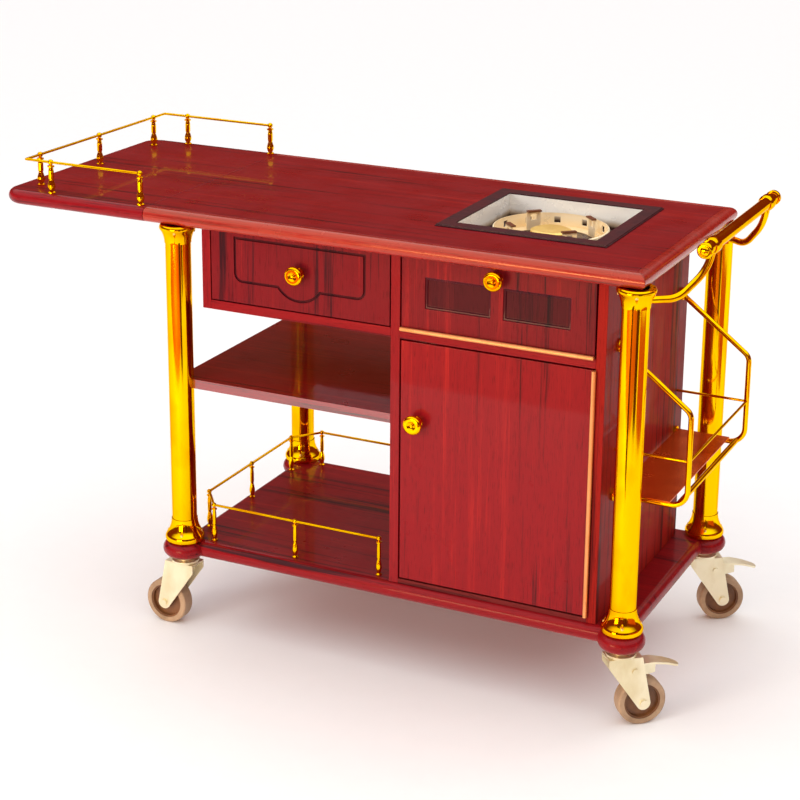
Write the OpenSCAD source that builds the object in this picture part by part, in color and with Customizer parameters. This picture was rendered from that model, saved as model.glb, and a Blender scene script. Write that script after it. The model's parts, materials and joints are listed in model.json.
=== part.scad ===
/* [Frame] */
// Distance between the post centres, left to right
post_span_x = 900; // [820:10:1000]
// Distance between the post centres, front to back
post_span_y = 480; // [460:5:540]
// Outer diameter of the posts
post_d = 48; // [40:1:54]
// Wall of the post tubes
post_wall = 1.5; // [1:0.1:3]
// Clear height between deck and worktop
bay_h = 634; // [600:2:700]
// Rim diameter of the flanges at the foot of the posts
foot_flange_d = 76; // [70:1:82]
// Height of the flanges at the foot of the posts
foot_flange_h = 46; // [36:1:66]
// Rim diameter of the flanges under the worktop
head_flange_d = 69; // [66:1:76]
// Height of the flanges under the worktop
head_flange_h = 35; // [30:1:48]
// Share of a flange's height that its rounded rim takes
flange_rim = 0.32; // [0.15:0.01:0.4]

/* [Deck] */
// Thickness of the deck board
deck_t = 32; // [24:1:36]
// How far the deck's straight edges lie outside the post centres
deck_margin = 9; // [6:1:16]
// Diameter of the round corner lobes that carry the posts
lobe_d = 86; // [84:1:100]

/* [Worktop] */
// Thickness of the worktop and of the folding leaf
top_t = 28; // [24:1:34]
// Overhang of the worktop past the post centres, front and back
top_over_y = 26; // [22:1:40]
// Overhang of the worktop past the right post centres
top_over_x = 23; // [20:1:40]
// Distance from the left post centres out to the leaf's seam
seam_out = 60; // [50:1:90]
// Length of the folding leaf
leaf_len = 322; // [260:2:340]
// Corner radius of the leaf
leaf_corner_r = 40; // [30:1:60]
// Width of the nosing strips round the worktop
nosing_w = 22; // [18:1:30]

/* [Casework] */
// Thickness of the case panels
panel_t = 18; // [15:1:22]
// Distance from the post centre lines in to the case sides
case_gap = 50; // [45:1:70]
// Distance of the case front behind the front post centres
face_set = 2; // [0:1:10]
// Depth of the case, front to back
case_depth = 450; // [430:5:460]
// Height of the drawer housing under the worktop
housing_h = 157; // [150:1:180]
// Thickness of the drawer housing's floor
housing_floor_t = 18; // [12:1:20]
// Thickness of the back panels
back_t = 6; // [4:1:9]
// Thickness of the cabinet floor
cabinet_floor_t = 9; // [6:1:14]
// Gap round the drawer front
front_gap = 2.5; // [2:0.5:4]
// Height of the mid shelf's underside above the deck
shelf_rise = 313; // [220:1:380]

/* [Drawer] */
// Height of the drawer box
drawer_h = 96; // [80:1:110]
// Length of the drawer box
drawer_len = 400; // [360:5:410]
// Thickness of the drawer sides
drawer_wall = 12; // [9:1:15]
// Height of the drawer runners
runner_h = 40; // [35:1:46]

/* [Door and flap] */
// Diameter of the piano hinge knuckles
knuckle_d = 8; // [7:0.5:9]
// Thickness of the piano hinge leaves
hinge_leaf_t = 1.2; // [1:0.1:1.4]
// Width of the joint that holds a piano hinge
hinge_joint = 3.2; // [3.2:0.1:4]
// Gap round the free edges of door and flap
door_gap = 3; // [2:0.5:4]
// Diameter of the brass knobs
knob_d = 36; // [30:1:40]
// How far the knobs stand out
knob_out = 26; // [22:1:26]

/* [Galleries] */
// Height of the leaf gallery's rail above the worktop
leaf_rail_h = 60; // [50:1:80]
// Height of the deck gallery's rail above the deck
deck_rail_h = 74; // [60:1:90]
// Diameter of the gallery rails
rail_d = 5; // [4:0.5:6]
// Diameter of the leaf gallery's turned posts
leaf_baluster_d = 15; // [13:0.5:17]
// Diameter of the deck gallery's turned posts
deck_baluster_d = 11.5; // [11:0.5:14]

/* [Push handle] */
// Distance of the grip outside the right post centres
grip_out = 105; // [95:1:125]
// Height of the grip's axis above the worktop
grip_up = 40; // [35:1:60]
// Length of the grip tube past each bracket
grip_over = 38; // [20:1:44]
// Diameter of the grip tube
grip_d = 22; // [20:1:28]
// Half distance between the two handle brackets at the grip
bracket_half = 165; // [150:1:180]
// Diameter of the bracket bars
bracket_d = 13; // [10:1:15]
// Width of the bracket saddles round the grip
saddle_w = 30; // [24:1:36]

/* [Side rack] */
// How far the rack stands out from the case side
rack_out = 137; // [110:1:160]
// Half distance between the rack's two hoops
rack_half = 175; // [150:1:190]
// Height of the rack floor above the deck
rack_low = 227; // [150:1:260]
// Height of the hoops' upright part
rack_upright = 173; // [140:1:200]
// Rise of the hoops' sloping part
rack_slope = 105; // [80:1:120]
// Height of the guard wires above the rack floor
rack_wire_up = 85; // [60:1:110]
// Diameter of the hoop tubes
hoop_d = 10; // [8:0.5:12]
// Diameter of the guard wires
wire_d = 5; // [4:0.5:6]

/* [Burner] */
// Distance of the burner's centre right of the cart's centre
burner_x = 190; // [185:1:200]
// Distance of the burner's centre behind the cart's centre
burner_y = 25; // [15:1:35]
// Width of the trim frame
burner_w = 330; // [320:2:336]
// Depth of the trim frame
burner_l = 312; // [300:2:320]
// Width of the trim frame's rim
burner_rim = 29; // [24:1:34]
// Thickness of the trim frame
burner_rim_t = 4; // [3:0.5:6]
// Depth of the steel tray below the worktop
tray_depth = 44; // [38:1:50]
// Outer diameter of the windowed pan ring
pan_ring_d = 216; // [200:2:224]
// Height of the windowed pan ring
pan_ring_h = 24; // [20:1:26]

/* [Casters] */
// Wheel diameter
wheel_d = 90; // [86:2:104]
// Width of the wheel's tread
wheel_w = 28; // [26:1:32]
// Distance of the axle behind the swivel axis
trail = 40; // [36:1:44]
// Height of the fork's crown above the axle
fork_h = 91; // [86:1:104]
// Thickness of the fork's pressed steel
fork_t = 3; // [2:0.5:4]
// Diameter of the caster stems
stem_d = 12; // [10:1:14]
// Height of the fixed collar under the deck
collar_h = 13.7; // [10:0.1:18]

/* [Hidden] */
$fn = 48;

// Radial clearance of a pin that turns in its hole
run_gap = 0.05;
// Thickness of a flange at its neck
flange_skin = 1.2;
// How far the rounding draws in the edges of a flange's rim
flange_round = 2.5;
// Gap between faces that move past each other
face_gap = 0.3;
// Clearance of a fixed fit
seat_gap = 0.1;
// How much thinner a straight bar is than the bend it runs into
bar_ease = 0.02;
// How far a cutting body reaches past what it cuts
cut = 1;

// Main heights
axle_z = wheel_d / 2;
crown_z = axle_z + fork_h;
deck_low = crown_z + face_gap + collar_h;
deck_top = deck_low + deck_t;
top_low = deck_top + bay_h;
top_z = top_low + top_t;
shelf_z = deck_top + shelf_rise;
housing_z = top_low - housing_h;

// Main places in plan
post_x = post_span_x / 2;
post_y = post_span_y / 2;
post_r = post_d / 2;
case_x = post_x - case_gap;
case_in = case_x - panel_t;
face_y = face_set - post_y;
case_back = face_y + case_depth;
back_in = case_back - back_t;
divider_x = panel_t / 2;
seam_x = -post_x - seam_out;
leaf_end = seam_x - leaf_len;
top_right = post_x + top_over_x;
top_y = post_y + top_over_y;
posts_at = [[-1, -1], [1, -1], [1, 1], [-1, 1]];

// Door and flap
hinge_y = face_y - knuckle_d / 2 - face_gap;
leaf_plate_w = 16;
hinge_pin_r = 1.6;
door_knuckles = 15;
flap_knuckles = 13;
door_right = case_in - hinge_joint;
door_left = divider_x + door_gap;
door_low = deck_top + cabinet_floor_t + door_gap;
door_top = housing_z - door_gap;
door_axis_x = case_in - hinge_joint / 2;
rail_top = housing_z + panel_t;
flap_low = rail_top + hinge_joint;
flap_top = top_low - door_gap;
flap_right = case_in - door_gap;
flap_axis_z = rail_top + hinge_joint / 2;
flap_mid = (door_left + flap_right) / 2;
flap_inner_y = face_y + panel_t;
door_knob_in = 33;
door_knob_rise = 324;
flap_knob_drop = 18;
door_knob_at = [door_left + door_knob_in, face_y, deck_top + door_knob_rise];
flap_knob_at = [flap_mid, face_y, flap_top - flap_knob_drop];
door_hinge_len = door_top - door_low;
flap_hinge_len = flap_right - door_left;

// Drawer
drawer_left = -case_in + front_gap;
drawer_right = -divider_x - front_gap;
drawer_low = housing_z + housing_floor_t + front_gap;
drawer_top = top_low - front_gap;
drawer_mid = (drawer_left + drawer_right) / 2;
drawer_mid_z = (drawer_low + drawer_top) / 2;
side_space = 13;
box_left = -case_in + side_space;
box_right = -divider_x - side_space;
box_low = drawer_low + 12;
runner_z = box_low + drawer_h / 2;
runner_skin = 2;
drawer_knob_at = [drawer_mid, face_y, drawer_mid_z + 6];

// Routed groove of the drawer front and sunk panels of the flap
groove_w = 5;
groove_deep = 3;
groove_side = 48;
groove_low = drawer_low + 39;
groove_high = drawer_top - 8;
groove_corner = 18;
groove_dip = 56;
panel_stile = 46;
panel_half_mullion = 12;
panel_low = flap_low + 41;
panel_high = flap_top - 34;
panel_step = 4;
panel_sunk = 5;

// Leaf hinges
leaf_hinge_r = 4;
leaf_hinge_z = top_low - leaf_hinge_r - face_gap;
leaf_hinge_w = 60;
leaf_hinge_plate = 38;
leaf_hinge_pin_r = 2;
leaf_hinge_in = 60;
leaf_hinge_y = [leaf_hinge_in - post_y, 0, post_y - leaf_hinge_in];
leaf_gap = 0.5;
leaf_plate_t = 2;

// Rails of the two galleries
leaf_rail_in = 50;
leaf_rail_x = leaf_end + leaf_rail_in;
leaf_rail_y = top_y - 20;
leaf_rail_end = seam_x - 16;
leaf_rail_turn = seam_x - leaf_len * 0.67;
leaf_rail_z = top_z + leaf_rail_h;
leaf_side_y = leaf_rail_y - 45;
leaf_rail = [
    [leaf_rail_end, -leaf_rail_y, leaf_rail_z], [leaf_rail_x, -leaf_rail_y, leaf_rail_z],
    [leaf_rail_x, leaf_rail_y, leaf_rail_z], [leaf_rail_end, leaf_rail_y, leaf_rail_z]];
leaf_posts = [
    for (s = [-1, 1]) for (x = [leaf_rail_end, leaf_rail_turn]) [x, s * leaf_rail_y],
    for (s = [-1, 0, 1]) [leaf_rail_x, s * leaf_side_y]];
deck_rail_x = post_x - 12;
deck_rail_y = post_y - 18;
deck_rail_end = -divider_x - 29;
deck_corner_x = deck_rail_x - 44;
deck_corner_y = deck_rail_y - 55;
deck_rail_z = deck_top + deck_rail_h;
deck_rail = [
    [deck_rail_end, -deck_rail_y, deck_rail_z], [-deck_corner_x, -deck_rail_y, deck_rail_z],
    [-deck_rail_x, -deck_corner_y, deck_rail_z], [-deck_rail_x, deck_corner_y, deck_rail_z],
    [-deck_corner_x, deck_rail_y, deck_rail_z], [deck_rail_end, deck_rail_y, deck_rail_z]];
deck_posts = [
    for (s = [-1, 1]) for (k = [0, 0.5, 1])
        [deck_rail_end + k * (-deck_corner_x - deck_rail_end), s * deck_rail_y],
    for (k = [-1, 0, 1]) [-deck_rail_x, k * deck_corner_y]];

// Mid shelf pins
pin_r = 3;
pin_len = 34;
pin_in = 10;
pin_from_post = 100;

// Push handle
grip_x = post_x + grip_out;
grip_z = top_z + grip_up;
grip_half = bracket_half + grip_over;
grip_wall = 1.5;
bracket_turn = atan2(post_y - bracket_half, grip_out);
bracket_reach = norm([grip_out, post_y - bracket_half]);
bracket_drop = 24;
bracket_z = top_low - bracket_drop;
bracket_start = 54;
bracket_bend = 46;

// Side rack
rack_x = case_x + rack_out;
rack_z = deck_top + rack_low;
rack_shoulder = rack_z + rack_upright;
rack_head = rack_shoulder + rack_slope;
slope_turn = atan2(rack_out, rack_slope);
hoop_bend = 22;
hoop_foot_bend = 30;
rosette_d = 24;
rosette_t = 4;
rack_plate_t = 1.5;

// Burner
tray_in_w = burner_w - 2 * burner_rim;
tray_in_l = burner_l - 2 * burner_rim;
tray_t = 1.2;
tray_floor = top_z - tray_depth;
tray_lip = 14;
head_r = 34;
throat_r = 12;
throat_len = 16;
mixer_r = 8;
mixer_z = tray_floor - 32;
ring_wall = 2.5;
ring_foot = 26;
ring_windows = 12;
lug_w = 28;
lug_t = 3;
lug_h = 38;
lug_hole = 12;
panel_y = flap_inner_y + 28;
panel_sheet = 2;
control_w = 150;
control_flange = 20;
control_below = 24;
valve_r = 11;
valve_len = 34;
shaft_r = 4;
shaft_len = 14;
nut_h = 2;
burner_knob_r = 16;
burner_knob_h = 16;

// Casters: direction of each wheel's trail, front left first, then round to the rear left
trail_turn = [178, 40, 34, 158];
has_brake = [false, true, true, false];
stem_r = stem_d / 2;
stem_head = 5;
collar_d = 34;
cap_d = 54;
cap_h = 5;
nut_d = 22;
fork_in = wheel_w + 6;
fork_back = 28;
fork_front = 35;
fork_skirt = 16;
fork_eye_r = 13;
boss_d = 34;
boss_h = 16;
axle_r = 4;
axle_head = 4;
hub_r = 12;
tread_t = 11;
rim_t = 4;
web_half = 6;
pedal_x = 22;
pedal_drop = 27;
pedal_z = crown_z - pedal_drop;
pedal_pin_r = 3;
pedal_hub_r = 6.5;
pedal_len = 88;
pedal_w = 30;
pedal_toe_w = 20;
pedal_t = 4;
pedal_rise = 6;
pedal_droop = 8;
shoe_at = 44;
shoe_gap = 5.5;
shoe_w = 16;

// Finishes
wood = [0.45, 0.04, 0.04];
dark_wood = [0.3, 0.03, 0.03];
gold = [0.95, 0.7, 0.15];
steel = [0.85, 0.84, 0.78];
zinc = [0.85, 0.78, 0.6];
dark = [0.15, 0.06, 0.06];
tan = [0.6, 0.42, 0.3];

// A box given by its lowest and highest corners
module block(low, high) {
    translate(low) cube(high - low);
}

// A round bar between two points
module rod(a, b, r) {
    v = b - a;
    translate(a) rotate([0, acos(v[2] / norm(v)), atan2(v[1], v[0])]) cylinder(r = r, h = norm(v));
}

// A round bar through a list of points, with a ball at each inner corner
module rod_path(points, r) {
    for (i = [1 : len(points) - 1]) rod(points[i - 1], points[i], r);
    for (i = [1 : len(points) - 2]) translate(points[i]) sphere(r = r);
}

// A straight stretch of round bar between two bends: a hair thinner, with its ends let into them
module straight(a, b, r) {
    let_in = 0.5 * (b - a) / norm(b - a);
    rod(a - let_in, b + let_in, r - bar_ease);
}

// A bent stretch of round bar in an upright plane along X, from angle a to angle b
module bend(centre, radius, a, b, r) {
    translate(centre) rotate([90, 0, 0]) rotate([0, 0, a])
        rotate_extrude(angle = b - a) translate([radius, 0]) circle(r = r);
}

// A board with a half-round nose along X, its flat back edge at y = 0 and its nose at y = -w
module nose_strip(length, w, t) {
    rotate([90, 0, 90]) linear_extrude(height = length) translate([t / 2 - w, 0]) {
        square([w - t / 2, t]);
        translate([0, t / 2]) intersection() {
            circle(d = t);
            translate([-t, -t]) square([t, 2 * t]);
        }
    }
}

// A disc, or a sector of one, with a half-round edge
module nose_disc(d, t, sweep = 360) {
    rotate_extrude(angle = sweep) {
        square([d / 2 - t / 2, t]);
        translate([d / 2 - t / 2, t / 2]) intersection() {
            circle(d = t);
            translate([-t, -t]) square([2 * t, 2 * t]);
        }
    }
}

// A bell flange standing on z = 0: a rounded rim, then a hollow curve up to the post
module bell(rim_d, h, grow = 0) {
    rim_r = rim_d / 2;
    rim_h = h * flange_rim;
    neck_r = post_r + flange_skin;
    rise = h - rim_h;
    drop = rim_r - flange_round - neck_r;
    cove_r = (rise * rise + drop * drop) / (2 * drop);
    round_r = (rim_h * rim_h / 4 + flange_round * flange_round) / (2 * flange_round);
    rotate_extrude() intersection() {
        difference() {
            square([rim_r + grow, h + grow]);
            translate([neck_r + grow + cove_r, h]) circle(r = cove_r);
            translate([neck_r + grow, h]) square([rim_d, h]);
        }
        union() {
            translate([rim_r + grow - round_r, rim_h / 2]) circle(r = round_r);
            translate([0, rim_h]) square([rim_d, h]);
            square([neck_r, h]);
        }
    }
}

// A bell flange with its bore for the post and its screw holes
module flange(rim_d, h) {
    difference() {
        bell(rim_d, h);
        translate([0, 0, -cut]) cylinder(r = post_r + seat_gap, h = h + 2 * cut);
        for (k = [0 : 3]) rotate([0, 0, 90 * k + 20])
            translate([(rim_d / 2 + post_r) / 2, 0, -cut]) cylinder(r = 2, h = h);
    }
}

// A turned gallery post: a swelling on a foot, a waist, a slim shaft, a collar and the rail's ball
module gallery_post(h, d) {
    r = d / 2;
    neck = r * 0.55;
    shaft = r * 0.7;
    rotate_extrude() polygon([
        [0, 0], [r, 0], [r, 2], [neck, 4], [r * 0.8, h * 0.12], [r, h * 0.2], [r * 0.92, h * 0.28],
        [shaft, h * 0.37], [neck, h * 0.43], [shaft, h * 0.48], [shaft, h * 0.7], [neck, h - 10],
        [r * 0.9, h - 9], [r * 0.9, h - 7], [neck, h - 6], [0, h - 3]]);
    translate([0, 0, h]) sphere(r = rail_d / 2 + neck / 1.4);
}

// A turned knob on the case front: rose, neck and a dished head with a button in the dish
module knob(place) {
    r = knob_d / 2;
    translate(place) rotate([90, 0, 0]) rotate_extrude() {
        difference() {
            polygon([[0, 0], [r * 0.62, 0], [r * 0.62, 2.5], [r * 0.34, 4.5], [r * 0.34, knob_out - 14],
                [r * 0.8, knob_out - 12], [r * 0.96, knob_out - 9], [r, knob_out - 6],
                [r * 0.96, knob_out - 3], [r * 0.84, knob_out - 1], [r * 0.7, knob_out], [0, knob_out]]);
            translate([0, knob_out + 8]) circle(r = 12);
        }
        translate([0, knob_out - 4]) intersection() {
            circle(r = 3);
            translate([0, -3]) square(6);
        }
    }
}

// Knuckles of a piano hinge along Z from 0 to length: every second one, with its web to the leaf
module knuckles(length, count, first, bore, web_side) {
    step = length / count;
    for (i = [first : 2 : count - 1]) translate([0, 0, i * step + face_gap / 2]) difference() {
        union() {
            cylinder(d = knuckle_d, h = step - face_gap);
            web = hinge_joint / 2 - hinge_leaf_t;
            translate([web_side > 0 ? web : -web - hinge_leaf_t, 0, 0])
                cube([hinge_leaf_t, knuckle_d / 2 + face_gap + cut, step - face_gap]);
        }
        if (bore) translate([0, 0, -cut]) cylinder(r = hinge_pin_r + run_gap, h = step + 2 * cut);
    }
}

// Half of a piano hinge along Z, its axis at the origin and its leaf running back along Y
module piano_half(length, count, fixed) {
    side = fixed ? 1 : -1;
    inner = hinge_joint / 2 - hinge_leaf_t;
    knuckles(length, count, fixed ? 0 : 1, !fixed, side);
    translate([fixed ? inner : -inner - hinge_leaf_t, knuckle_d / 2 + face_gap, 0])
        cube([hinge_leaf_t, leaf_plate_w, length]);
    if (fixed) cylinder(r = hinge_pin_r, h = length);
}

// The deck: a board with half-round edges and four round lobes under the posts
module deck_board() {
    ex = post_x + deck_margin;
    ey = post_y + deck_margin;
    color(wood) difference() {
        translate([0, 0, deck_low]) union() {
            block([-ex + deck_t / 2, -ey + deck_t / 2, 0], [ex - deck_t / 2, ey - deck_t / 2, deck_t]);
            for (s = [-1, 1]) {
                rod([-post_x, s * (ey - deck_t / 2), deck_t / 2],
                    [post_x, s * (ey - deck_t / 2), deck_t / 2], deck_t / 2);
                rod([s * (ex - deck_t / 2), -post_y, deck_t / 2],
                    [s * (ex - deck_t / 2), post_y, deck_t / 2], deck_t / 2);
            }
            for (p = posts_at) translate([p[0] * post_x, p[1] * post_y, 0]) nose_disc(lobe_d, deck_t);
        }
        for (p = posts_at) translate([p[0] * post_x, p[1] * post_y, deck_low - cut])
            cylinder(r = stem_d / 2 + seat_gap, h = deck_t + 2 * cut);
    }
}

// The fixed worktop inside its nosing, with the cut-out for the burner tray
module worktop() {
    hole_w = tray_in_w / 2 + tray_t + 1;
    hole_l = tray_in_l / 2 + tray_t + 1;
    color(wood) difference() {
        block([seam_x, nosing_w - top_y, top_low], [top_right - nosing_w, top_y - nosing_w, top_z]);
        block([burner_x - hole_w, burner_y - hole_l, top_low - cut],
            [burner_x + hole_w, burner_y + hole_l, top_z + cut]);
    }
}

// Three half-round nosing strips, mitred at the two right corners
module worktop_nosing() {
    run = top_right - seam_x;
    size = top_right + top_y;
    color(wood) {
        for (s = [-1, 1]) difference() {
            translate([seam_x, s * (top_y - nosing_w), top_low]) mirror([0, s > 0 ? 1 : 0, 0])
                nose_strip(run, nosing_w, top_t);
            translate([top_right, s * top_y, top_low - cut]) rotate([0, 0, -s * 45])
                translate([0, -size, 0]) cube([size, 2 * size, top_t + 2 * cut]);
        }
        difference() {
            translate([top_right - nosing_w, -top_y, top_low]) rotate([0, 0, 90])
                nose_strip(2 * top_y, nosing_w, top_t);
            for (s = [-1, 1]) translate([top_right, s * top_y, top_low - cut]) rotate([0, 0, -s * 45])
                translate([seat_gap - size, -size, 0]) cube([size, 2 * size, top_t + 2 * cut]);
        }
    }
}

// One tubular post
module post(i) {
    p = posts_at[i];
    color(gold) translate([p[0] * post_x, p[1] * post_y, deck_top]) difference() {
        cylinder(r = post_r, h = bay_h);
        translate([0, 0, -cut]) cylinder(r = post_r - post_wall, h = bay_h + 2 * cut);
        if (p[0] < 0) translate([0, 0, shelf_rise + panel_t / 2]) rotate([0, 90, -45 * p[1]])
            cylinder(r = pin_r + seat_gap, h = post_d);
    }
}

// The bell flanges at the feet of the posts
module foot_flanges() {
    color(gold) for (p = posts_at) translate([p[0] * post_x, p[1] * post_y, deck_top])
        flange(foot_flange_d, foot_flange_h);
}

// The smaller bell flanges under the worktop
module head_flanges() {
    color(gold) for (p = posts_at) translate([p[0] * post_x, p[1] * post_y, top_low])
        mirror([0, 0, 1]) flange(head_flange_d, head_flange_h);
}

// The right side of the case
module cabinet_side() {
    color(wood) block([case_in, face_y, deck_top], [case_x, case_back, top_low]);
}

// The upright between the open bay and the cabinet
module cabinet_divider() {
    color(wood) difference() {
        block([-divider_x, face_y, deck_top], [divider_x, case_back, top_low]);
        shelf_pin_places(pin_r + seat_gap, seat_gap);
    }
}

// The thin floor of the cabinet, whose front edge shows under the door
module cabinet_floor() {
    color(dark_wood) block([divider_x, face_y, deck_top], [case_in, back_in, deck_top + cabinet_floor_t]);
}

// The left side of the drawer housing
module housing_side() {
    color(wood) block([-case_x, face_y, housing_z], [-case_in, case_back, top_low]);
}

// The floor of the drawer housing
module housing_floor() {
    color(wood) block([-case_in, face_y, housing_z], [-divider_x, back_in, housing_z + housing_floor_t]);
}

// The board between door and flap, which carries the flap's hinge
module flap_rail_board() {
    color(wood) block([divider_x, face_y, housing_z], [case_in, back_in, rail_top]);
}

// The backs of the drawer housing and of the cabinet
module back_panels() {
    color(dark_wood) {
        block([-case_in, back_in, housing_z], [-divider_x, case_back, top_low]);
        block([divider_x, back_in, deck_top], [case_in, case_back, top_low]);
    }
}

// The pins that carry the mid shelf: two out of the left posts, two out of the divider
module shelf_pin_places(r, extra) {
    z = shelf_z + panel_t / 2;
    for (s = [-1, 1]) {
        translate([-post_x, s * post_y, z]) rotate([0, 90, -45 * s])
            translate([0, 0, post_r - post_wall - extra]) cylinder(r = r, h = pin_len + 2 * extra);
        translate([-divider_x + pin_in + extra, s * (post_y - pin_from_post), z]) rotate([0, -90, 0])
            cylinder(r = r, h = pin_len + 2 * extra);
    }
}
module shelf_pins() {
    color(steel) shelf_pin_places(pin_r, 0);
}

// The mid shelf, hollowed at its left corners to fit round the posts
module mid_shelf() {
    color(wood) difference() {
        block([-post_x - deck_margin, face_y, shelf_z], [-divider_x, -face_y, shelf_z + panel_t]);
        for (s = [-1, 1]) translate([-post_x, s * post_y, shelf_z - cut])
            cylinder(r = post_r + seat_gap, h = panel_t + 2 * cut);
        shelf_pin_places(pin_r + seat_gap, seat_gap);
    }
}

// The turned posts of the deck gallery
module deck_gallery_posts() {
    color(gold) difference() {
        for (p = deck_posts) translate([p[0], p[1], deck_top]) gallery_post(deck_rail_h, deck_baluster_d);
        rod_path(deck_rail, rail_d / 2 + run_gap);
    }
}

// The rod that runs round the deck gallery
module deck_gallery_rail() {
    color(gold) rod_path(deck_rail, rail_d / 2);
}

// One hoop of the side rack, in the plane y = 0
module hoop() {
    r = hoop_d / 2;
    bend_run = hoop_bend * tan(slope_turn / 2);
    shoulder = [rack_x - hoop_bend, 0, rack_shoulder - bend_run];
    foot = [rack_x - hoop_foot_bend, 0, rack_z + hoop_foot_bend];
    rod([case_x, 0, rack_head], shoulder + hoop_bend * [cos(slope_turn), 0, sin(slope_turn)], r);
    bend(shoulder, hoop_bend, 0, slope_turn, r);
    rod([rack_x, 0, foot[2]], [rack_x, 0, shoulder[2]], r);
    bend(foot, hoop_foot_bend, -90, 0, r);
    rod([case_x, 0, rack_z], [foot[0], 0, rack_z], r);
    rod([case_x, 0, rack_z + rack_wire_up], [rack_x, 0, rack_z + rack_wire_up], wire_d / 2);
    for (z = [rack_head, rack_z]) translate([case_x, 0, z]) rotate([0, 90, 0])
        cylinder(d = rosette_d, h = rosette_t);
}

// The welded side rack: two hoops, the guard wire and the foot rail
module rack_frame() {
    low = [rack_x - hoop_foot_bend / 2, 0, rack_z + hoop_foot_bend * (1 - cos(30))];
    wire = [rack_x, 0, rack_z + rack_wire_up];
    side = [0, rack_half, 0];
    color(gold) difference() {
        union() {
            for (s = [-1, 1]) translate(s * side) hoop();
            rod(low - side, low + side, hoop_d / 2);
            rod(wire - side, wire + side, wire_d / 2);
        }
        block([case_x - hoop_d, -post_y, deck_top], [case_x, post_y, top_low]);
    }
}

// The sheet floor of the side rack
module rack_floor() {
    z = rack_z + hoop_d / 2;
    color(gold) block([case_x + rosette_t + seat_gap, -rack_half - 4, z],
        [rack_x - hoop_foot_bend, rack_half + 4, z + rack_plate_t]);
}

// A bracket's bar: level out of the post, then two bends that end upright at the grip
module bracket_bar() {
    r = bracket_d / 2;
    half = bracket_bend * sqrt(0.5);
    rise = grip_z - bracket_z - bracket_bend + half;
    run = bracket_reach - bracket_start - half;
    upper = (rise - run) / (2 * sqrt(0.5) - 1);
    slant = rise - upper * sqrt(0.5);
    lower_end = [bracket_start + half, 0, bracket_z + bracket_bend - half];
    upper_end = lower_end + [slant, 0, slant];
    straight([0, 0, bracket_z], [bracket_start, 0, bracket_z], r);
    bend([bracket_start, 0, bracket_z + bracket_bend], bracket_bend, -90, -45, r);
    straight(lower_end, upper_end, r);
    bend([bracket_reach - upper, 0, grip_z], upper, -45, -asin(grip_d / 4 / upper), r);
}

// The two swept brackets with their saddles round the grip
module handle_brackets() {
    r = grip_d / 2;
    w = saddle_w / 2;
    color(gold) for (s = [-1, 1]) difference() {
        union() {
            translate([post_x, s * post_y, 0]) rotate([0, 0, -s * bracket_turn]) bracket_bar();
            translate([grip_x, s * bracket_half, grip_z]) rotate([-90, 0, 0]) rotate_extrude()
                polygon([[0, -w], [r + 1.5, -w], [r + 4, 8 - w], [r + 4, w - 8], [r + 1.5, w], [0, w]]);
        }
        translate([post_x, s * post_y, top_low]) mirror([0, 0, 1])
            bell(head_flange_d, head_flange_h, seat_gap);
        translate([grip_x, -grip_half, grip_z]) rotate([-90, 0, 0])
            cylinder(r = r + seat_gap, h = 2 * grip_half);
    }
}

// A domed button that plugs one end of the grip, its seat at z = 0
module grip_end() {
    r = grip_d / 2;
    plug_r = r - grip_wall - seat_gap;
    rotate_extrude() polygon([
        [0, -12], [plug_r, -12], [plug_r, seat_gap], [r + 1.5, seat_gap], [r + 3, 1.5], [r + 3, 6.5],
        [r + 1.5, 8.5], [r - 1, 9.5], [r - 3, 9.5], [r - 5, 11.5], [0, 13]]);
}

// The grip tube between its two end buttons
module handle_grip() {
    color(gold) {
        translate([grip_x, -grip_half, grip_z]) rotate([-90, 0, 0]) difference() {
            cylinder(d = grip_d, h = 2 * grip_half);
            translate([0, 0, -cut]) cylinder(d = grip_d - 2 * grip_wall, h = 2 * (grip_half + cut));
        }
        for (s = [-1, 1]) translate([grip_x, s * grip_half, grip_z]) rotate([-90 * s, 0, 0]) grip_end();
    }
}

// The trim frame of the burner, rebated below for the tray's lip
module burner_frame() {
    step = burner_rim_t / 2;
    color(dark) translate([burner_x, burner_y, top_z]) difference() {
        union() {
            block([-burner_w / 2, -burner_l / 2, 0], [burner_w / 2, burner_l / 2, burner_rim_t - step]);
            block([step - burner_w / 2, step - burner_l / 2, 0],
                [burner_w / 2 - step, burner_l / 2 - step, burner_rim_t]);
        }
        block([-tray_in_w / 2, -tray_in_l / 2, -cut], [tray_in_w / 2, tray_in_l / 2, 2 * burner_rim_t]);
        block([-tray_in_w / 2 - tray_lip - seat_gap, -tray_in_l / 2 - tray_lip - seat_gap, -cut],
            [tray_in_w / 2 + tray_lip + seat_gap, tray_in_l / 2 + tray_lip + seat_gap, tray_t]);
    }
}

// The sunk steel tray, hung by its lip, with a hole for the burner's throat
module burner_tray() {
    w = tray_in_w / 2;
    l = tray_in_l / 2;
    color(steel) translate([burner_x, burner_y, 0]) difference() {
        union() {
            block([-w - tray_t, -l - tray_t, tray_floor - tray_t], [w + tray_t, l + tray_t, top_z + tray_t]);
            block([-w - tray_lip, -l - tray_lip, top_z], [w + tray_lip, l + tray_lip, top_z + tray_t]);
        }
        block([-w, -l, tray_floor], [w, l, top_z + 2 * tray_t]);
        translate([0, 0, tray_floor - 2 * tray_t]) cylinder(r = throat_r + seat_gap, h = 3 * tray_t);
    }
}

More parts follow.
